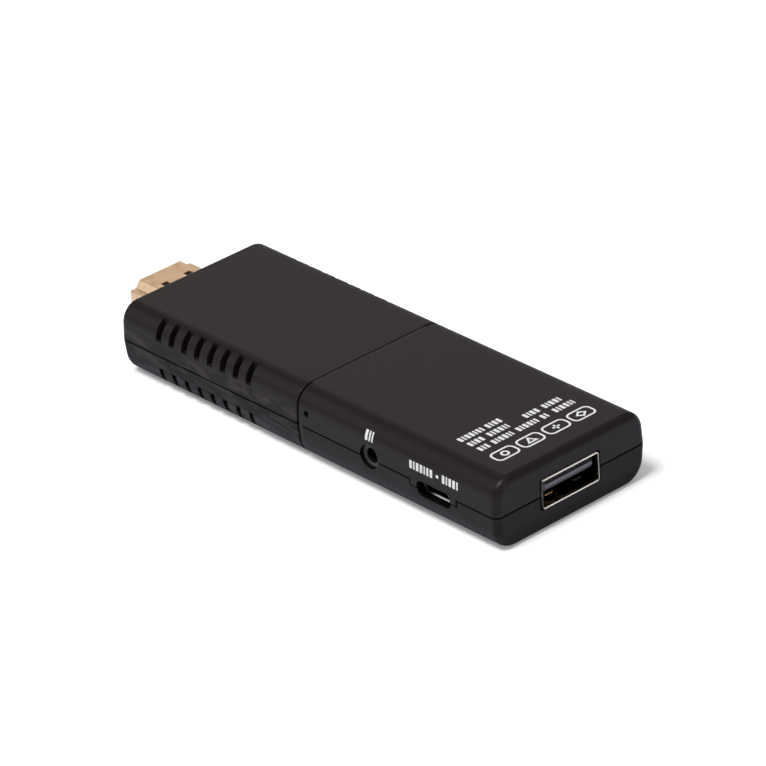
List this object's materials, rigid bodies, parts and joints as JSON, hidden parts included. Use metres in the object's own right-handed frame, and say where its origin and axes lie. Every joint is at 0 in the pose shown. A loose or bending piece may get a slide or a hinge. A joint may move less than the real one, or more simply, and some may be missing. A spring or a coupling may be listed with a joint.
{
  "type": "streaming stick",
  "caption": "Flat rounded stick with a display plug on one end, a socket on the other, a round jack and a power socket in one side, and rows of air slots.",
  "frame": {"origin": "middle of the stick's length and width with the plug included, on the face it lies on", "axes": "+X along the stick from the plug to the host socket, +Z out of the labelled face; the jack and the power socket face -Y"},
  "size_m": [0.1054, 0.034, 0.0133],
  "materials": {
    "casing_plastic": "fine satin texture",
    "plug_plating": "satin gold-coloured plating",
    "socket_plating": "satin gold-coloured plating",
    "socket_steel": "satin",
    "contact_plating": "bright plating",
    "insulator_black": "moulded",
    "tongue_plastic": "moulded",
    "jack_plastic": "moulded",
    "board_laminate": "lacquered",
    "chip_resin": "moulded resin",
    "pad_silicone": "soft",
    "sink_aluminium": "extruded",
    "shield_steel": "rolled sheet",
    "ferrite": "moulded",
    "ceramic_tan": "fired ceramic",
    "resistor_film": "coated",
    "plunger_plastic": "moulded",
    "dome_steel": "sprung sheet"
  },
  "bodies": {
    "stick_body": {"front_upper_shell": "casing_plastic", "front_lower_shell": "casing_plastic", "rear_upper_shell": "casing_plastic", "rear_lower_shell": "casing_plastic", "seam_collar": "casing_plastic", "main_board": "board_laminate", "display_plug_shell": "plug_plating", "display_plug_contacts": "contact_plating", "display_plug_insulator": "insulator_black", "host_socket_shell": "socket_plating", "host_socket_contacts": "contact_plating", "host_socket_insulator": "tongue_plastic", "power_socket_shell": "socket_steel", "power_socket_contacts": "contact_plating", "power_socket_insulator": "insulator_black", "sensor_jack_contacts": "contact_plating", "sensor_jack_body": "jack_plastic", "reset_switch_base": "insulator_black", "reset_switch_bracket": "shield_steel", "reset_switch_dome": "dome_steel", "processor_chip": "chip_resin", "heat_pad": "pad_silicone", "heat_sink": "sink_aluminium", "memory_chips": "chip_resin", "flash_chip": "chip_resin", "power_manager_chip": "chip_resin", "radio_module_board": "board_laminate", "radio_module_shield": "shield_steel", "radio_chip": "chip_resin", "radio_antenna": "shield_steel", "main_crystal": "shield_steel", "clock_crystal": "shield_steel", "power_inductors": "ferrite", "bulk_capacitors": "ceramic_tan", "small_capacitors": "ceramic_tan", "small_resistors": "resistor_film", "regulator_chips": "chip_resin", "surge_arrays": "chip_resin"},
    "reset_plunger": {"reset_switch_plunger": "plunger_plastic"}
  },
  "joints": [
    {"name": "reset_press", "type": "slide", "parent": "stick_body", "child": "reset_plunger", "axis": [0, 1, 0], "range_m": [0, 0.00025], "stiffness_N_per_m": 4000}
  ]
}
